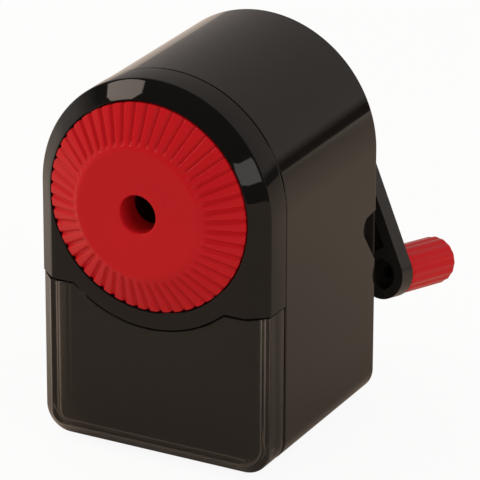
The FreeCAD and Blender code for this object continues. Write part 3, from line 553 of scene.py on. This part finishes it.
# Die-cast zinc is grey and slightly cloudy; ground tool steel is darker and sharper; plated steel is
# bright; sintered bronze is speckled and dull; natural nylon is a waxy off-white.
zinc = worked_metal("zinc_die_cast", ("#8E8F91", "#A6A7A9"), 0.9, (0.34, 0.5))
tool_steel = worked_metal("tool_steel_ground", ("#7D7F82", "#96989B"), 0.4, (0.2, 0.34))
plated = worked_metal("steel_zinc_plated", ("#B4B6B9", "#C9CBCE"), 0.8, (0.16, 0.28))
bronze = worked_metal("bronze_sintered", ("#8A6238", "#A87C48"), 0.25, (0.36, 0.55))
nylon = moulded("nylon_natural", ("#DAD4C6", "#E2DCCF"), 0.6, (0.4, 0.5), 0.05)
finishes = {"ring_gear": zinc, "cutter_carrier": zinc, "helical_cutter": tool_steel,
            "cutter_pinion": tool_steel, "cutter_axle": tool_steel, "axle_clip": tool_steel,
            "shaft_pin": tool_steel, "shaft_clip": tool_steel, "drive_shaft": plated,
            "bezel_screws": plated, "shaft_bush": bronze, "thrust_washer": nylon}
for name, material in finishes.items():
    frame["nodes"][name].material_slots[0].material = material


# Crank arm: the lever on the rear end of the shaft, black ABS, channelled on the side that faces the body,
# with a square-holed hub and a hollow spindle that the grip snaps onto.

# Black ABS from a coarser tool: greyer and duller than the shell, so that its hollows keep their shape.
matt_abs = moulded("abs_black_matt", ("#201D1A", "#272320"), 0.4, (0.22, 0.3), 0.15, 1.5)

dress(softened("crank", "crank_arm", 0.35), matt_abs, "satin_black", "crank", "crank_arm")


# Grip: the handle that turns freely on the arm's spindle, red ABS like the dial, a hollow fluted cylinder
# with a closed, rounded end. It is drawn about the spindle's foot and then put where the joint is.
GRIP_NEAR, GRIP_FAR, GRIP_RADIUS, GRIP_BORE = 4.9, 24.5, 5.86, 3.3
GRIP_END, GRIP_ROUND, GRIP_FLUTES = 2.2, 0.8, 16
FULL_DEPTH = GRIP_NEAR + 0.4                  # where the flutes reach their depth
straight = GRIP_FAR - GRIP_ROUND - 0.2 - FULL_DEPTH
side = [(GRIP_RADIUS, FULL_DEPTH + straight * i / 12, -1, 0) for i in range(13)]
end = [(GRIP_RADIUS - inset, GRIP_FAR - back, -min(1, back / GRIP_ROUND), 0)
       for inset, back in rounding(GRIP_ROUND, 8)[::-1]]
open_end = plain((GRIP_BORE, GRIP_NEAR), (GRIP_RADIUS - 0.56, GRIP_NEAR))
open_end.append((GRIP_RADIUS - 0.16, GRIP_NEAR + 0.14, -0.5, 0))
closed_end = plain((2.5, GRIP_FAR), (0, GRIP_FAR), (0, GRIP_FAR - GRIP_END), (GRIP_BORE, GRIP_FAR - GRIP_END))
grip = turned("grip", open_end + side + end + closed_end, GRIP_FLUTES * 14, 0)
grow(grip, fluting_tree, {"Flutes": GRIP_FLUTES, "Depth": 0.25 * MM, "Half width": 1.1 * MM,
                          "Axis height": 0.0, "Finish": red_abs})
joints = {joint["name"]: joint for joint in frame["joints"]}
hub, foot = (Vector(joints[name]["pos_m"]) for name in ("crank_spin", "grip_spin"))
spindle = Vector(joints["grip_spin"]["axis"])
to_hub = (hub - foot).normalized()
facing = Matrix((spindle.cross(to_hub), spindle, to_hub)).transposed()
grip.data.transform(Matrix.Translation(foot) @ facing.to_4x4())
dress(grip, red_abs, "red_plastic", "grip", "crank_grip")


# Screws: pan heads with a cross recess, cold-headed and zinc plated. Three hold the rear cover, and one
# holds the crank on its square.
SHANK, HEAD, HEAD_HEIGHT = 1.4, 2.7, 1.7
CROSS_REACH, CROSS_HALF = 1.55, 0.36


def fastening():
    """Nodes that put a screw at every point."""
    tree = bpy.data.node_groups.new("Fastening", "GeometryNodeTree")
    for name, kind in (("Geometry", "Geometry"), ("Screw", "Object"), ("Finish", "Material")):
        tree.interface.new_socket(name, in_out="INPUT", socket_type=f"NodeSocket{kind}")
    tree.interface.new_socket("Geometry", in_out="OUTPUT", socket_type="NodeSocketGeometry")
    given = add(tree, "NodeGroupInput").outputs
    pattern = add(tree, "GeometryNodeObjectInfo", {"Object": given["Screw"]})
    points = add(tree, "GeometryNodeMeshToPoints", {"Mesh": given["Geometry"]})
    placed = add(tree, "GeometryNodeInstanceOnPoints",
                 {"Points": points.outputs[0], "Instance": pattern.outputs["Geometry"]})
    real = add(tree, "GeometryNodeRealizeInstances", {0: placed.outputs[0]})
    done = add(tree, "GeometryNodeSetMaterial", {"Geometry": real.outputs[0], "Material": given["Finish"]})
    add(tree, "NodeGroupOutput", {0: done.outputs[0]})
    return tree


def screw(length):
    """One screw along Y with the underside of its head at the origin."""
    shank = [(0, -length), (SHANK - 0.3, -length), (SHANK, 0.4 - length), (SHANK, 0)]
    head = [(HEAD - 0.1, 0), (HEAD, 0.12), (HEAD, 0.6), (2.62, 0.95), (2.35, 1.3), (1.9, 1.54), (1.2, 1.67),
            (0, HEAD_HEIGHT)]
    item = turned("screw", plain(*shank, *head), 40, 0)
    arm = [(CROSS_REACH, -CROSS_HALF), (CROSS_REACH, CROSS_HALF), (CROSS_HALF, CROSS_HALF)]
    quarters = ((1, 0), (0, 1), (-1, 0), (0, -1))
    cross = [(a * x - b * z, a * z + b * x) for x, z in quarters for a, b in arm]
    widths = ((0.5, 0.6), (1.2, 0.95), (2, 1))           # the recess widens from its floor up
    mesh = bmesh.new()
    add_skin(mesh, [[(x * share, y, z * share) for x, z in cross] for y, share in widths], caps=True)
    return cut_away(item, closed_object("recess", mesh))


fastening_tree = fastening()
for name, node, body, spots in (("cover_fixings", "cover_screws", "housing", COVER_POSTS),
                                ("crank_fixing", "crank_screw", "crank", [(0, 0)])):
    tip, top = (corner.y for corner in box_mm(node))
    seat = top - HEAD_HEIGHT
    mesh = bmesh.new()
    for x, z in spots:
        mesh.verts.new(Vector((x, seat, z + AXIS)) * MM)
    item = new_object(name, mesh)
    pattern = screw(seat - tip)
    grow(item, fastening_tree, {"Screw": pattern, "Finish": plated})
    bpy.data.objects.remove(pattern)
    dress(item, plated, "bright_steel", body, node)


# Rubber pad: the non-slip sole that the sharpener stands on, a plain rectangle cut from sheet rubber and
# stuck to the underside of the shell.

# Black sheet rubber: dull, with a fine grain.
rubber = moulded("rubber_black", ("#1A1A1A", "#232322"), 0.5, (0.7, 0.85), 0.3)

frame["nodes"]["rubber_pad"].material_slots[0].material = rubber


# Table, light and view: a pale table top with soft lamps over it. Table and surroundings show white where
# they are looked at, and as a dimmer, warmer room in a gloss; the table keeps a trace of the shadow.
sheet = bpy.data.materials.new("table_pale")
sheet.use_nodes = True
tree = sheet.node_tree
tree.nodes.remove(tree.nodes["Principled BSDF"])
rays = add(tree, "ShaderNodeLightPath").outputs
paint = add(tree, "ShaderNodeMix", {0: rays["Is Glossy Ray"], 6: linear("#F2ECE6"), 7: linear("#C4B09C")},
            data_type="RGBA")
matt = add(tree, "ShaderNodeBsdfDiffuse", {"Color": paint.outputs[2]})
tone = add(tree, "ShaderNodeMix", {0: rays["Is Glossy Ray"], 6: linear("#FFFFFF"), 7: linear("#F6E4D6")},
           data_type="RGBA")
white = add(tree, "ShaderNodeEmission", {"Color": tone.outputs[2], "Strength": 1.0})
place = add(tree, "ShaderNodeTexCoord").outputs["Object"]
# Painted shade: in a gloss the table darkens towards the object and its right, and grows paler further back
# on the left. This stands in for the object's shadow and for the light in the room.
behind = add(tree, "ShaderNodeVectorMath", {0: place, 1: (-0.8, 0.6, 0)}, operation="DOT_PRODUCT")
gloss_painted_shade = add(tree, "ShaderNodeMapRange",
            {"Value": behind.outputs["Value"], "From Min": 0.03, "From Max": 0.13,
             "To Min": 0.05, "To Max": 0.7})
in_gloss = add(tree, "ShaderNodeMath", {0: rays["Is Glossy Ray"], 1: gloss_painted_shade.outputs[0]}, operation="MULTIPLY")
# Painted contact shadow: seen through clear plastic, the table is dark within a few centimetres of the object
# and bright beyond.
away = add(tree, "ShaderNodeVectorMath", {0: place}, operation="LENGTH")
painted_contact_shadow = add(tree, "ShaderNodeMapRange",
                 {"Value": away.outputs["Value"], "From Min": 0.04, "From Max": 0.08,
                  "To Min": 0.05, "To Max": 0.9})
through = add(tree, "ShaderNodeMath", {0: rays["Is Transmission Ray"], 1: painted_contact_shadow.outputs[0]},
              operation="MULTIPLY")
unseen = add(tree, "ShaderNodeMath", {0: in_gloss.outputs[0], 1: through.outputs[0]}, operation="MAXIMUM")
lift = add(tree, "ShaderNodeMath", {0: rays["Is Camera Ray"], 1: 0.92, 2: unseen.outputs[0]},
           operation="MULTIPLY_ADD")
table = add(tree, "ShaderNodeMixShader", {0: lift.outputs[0], 1: matt.outputs[0], 2: white.outputs[0]})
tree.links.new(table.outputs[0], tree.nodes["Material Output"].inputs["Surface"])

# The table's reach in metres from under the object; its near edge lies at the front right.
nearer, along = Vector((0.75, -0.66, 0)), Vector((0.66, 0.75, 0))
NEAR_EDGE, FAR_EDGE, LEFT_END, RIGHT_END = 0.6, -3, -2, 3
table_corners = ((NEAR_EDGE, LEFT_END), (NEAR_EDGE, RIGHT_END), (FAR_EDGE, RIGHT_END), (FAR_EDGE, LEFT_END))
mesh = bmesh.new()
mesh.faces.new([mesh.verts.new(nearer * a + along * b) for a, b in table_corners])
floor = closed_object("floor", mesh)
floor.data.materials.append(sheet)

# The room as a gloss shows it: a grey wall behind, dark low down on the right, and a paler low wall on
# the left. A dull surface gets a soft dome of light instead, a little stronger from behind.
world = bpy.data.worlds.new("studio")
bpy.context.scene.world = world
world.use_nodes = True
tree = world.node_tree
aim = add(tree, "ShaderNodeTexCoord").outputs["Generated"]
way = add(tree, "ShaderNodeSeparateXYZ", {0: aim}).outputs
rear_wall = add(tree, "ShaderNodeMapRange",
                {"Value": way["Y"], "From Min": 0.0, "From Max": 0.4, "To Max": 0.39})
high = add(tree, "ShaderNodeMapRange", {"Value": way["Z"], "From Min": 0.04, "From Max": 0.12})
not_right = add(tree, "ShaderNodeMapRange", {"Value": way["X"], "From Min": 0.45, "From Max": 0.2})
clear = add(tree, "ShaderNodeMath", {0: high.outputs[0], 1: not_right.outputs[0]}, operation="MAXIMUM")
grey = add(tree, "ShaderNodeMath", {0: rear_wall.outputs[0], 1: clear.outputs[0]}, operation="MULTIPLY")
low = add(tree, "ShaderNodeMapRange", {"Value": way["Z"], "From Min": 0.4, "From Max": 0.15, "To Max": 0.6})
left = add(tree, "ShaderNodeMapRange", {"Value": way["X"], "From Min": -0.5, "From Max": -0.8})
pale = add(tree, "ShaderNodeMath", {0: low.outputs[0], 1: left.outputs[0]}, operation="MULTIPLY")
walls = add(tree, "ShaderNodeMath", {0: grey.outputs[0], 1: pale.outputs[0]}, operation="MAXIMUM")
room = add(tree, "ShaderNodeMath", {0: walls.outputs[0], 1: 0.03}, operation="MAXIMUM")
rays = add(tree, "ShaderNodeLightPath").outputs
looked_at = add(tree, "ShaderNodeMath", {0: rays["Is Camera Ray"], 1: rays["Is Transmission Ray"]},
                operation="MAXIMUM")
dome = add(tree, "ShaderNodeMapRange",
           {"Value": way["Y"], "From Min": -0.4, "From Max": 0.4, "To Min": 0.44, "To Max": 0.72})
unseen = add(tree, "ShaderNodeMix", {0: rays["Is Glossy Ray"], 2: dome.outputs[0], 3: room.outputs[0]})
level = add(tree, "ShaderNodeMix", {0: looked_at.outputs[0], 2: unseen.outputs[0], 3: 1.0})
warmth = add(tree, "ShaderNodeMix", {0: rays["Is Glossy Ray"], 6: linear("#FFFFFF"), 7: linear("#FFF2EB")},
             data_type="RGBA")
tree.links.new(level.outputs[0], tree.nodes["Background"].inputs["Strength"])
tree.links.new(warmth.outputs[2], tree.nodes["Background"].inputs["Color"])

# Square lamps: name, place and width in metres, watts, colour, and whether a gloss shows them.
LAMPS = (("key box", (-0.68, -0.38, 0.67), 0.3, 1.3, "#FFEBDC", True),
         ("right box", (0.68, -0.69, 0.27), 0.24, 0.36, "#FFFAF6", True),
         ("left fill", (-0.88, -0.28, 0.5), 0.6, 4.2, "#FFFFFF", False),
         ("right fill", (0.88, -0.22, 0.48), 0.5, 2.6, "#FFFFFF", False))
LIT_POINT = Vector((0, 0, 0.05))
for name, place, width, power, tone, shows in LAMPS:
    lamp = bpy.data.lights.new(name, "AREA")
    lamp.size = width
    lamp.energy = power
    lamp.color = linear(tone)[:3]
    item = bpy.data.objects.new(name, lamp)
    item.location = place
    item.rotation_euler = (LIT_POINT - Vector(place)).to_track_quat("-Z", "Y").to_euler()
    item.visible_glossy = shows
    bpy.context.scene.collection.objects.link(item)

# A long lens about a metre away, fitted to the edges in the photo; the angles are in degrees.
AZIMUTH, ELEVATION, ROLL = 27.91673, 22.57748, 0.18213
camera = bpy.data.objects.new("camera", bpy.data.cameras.new("camera"))
camera.data.sensor_width = 36
camera.data.lens = 312.23171
camera.data.clip_start = 0.05
camera.location = (0.43234, -0.79954, 0.42384)
swung = Matrix.Rotation(math.radians(AZIMUTH), 4, "Z")
tilted = Matrix.Rotation(math.radians(90 - ELEVATION), 4, "X")
camera.rotation_euler = (swung @ tilted @ Matrix.Rotation(math.radians(ROLL), 4, "Z")).to_euler()
bpy.context.scene.collection.objects.link(camera)
bpy.context.scene.camera = camera
bpy.context.scene.view_settings.view_transform = "Standard"
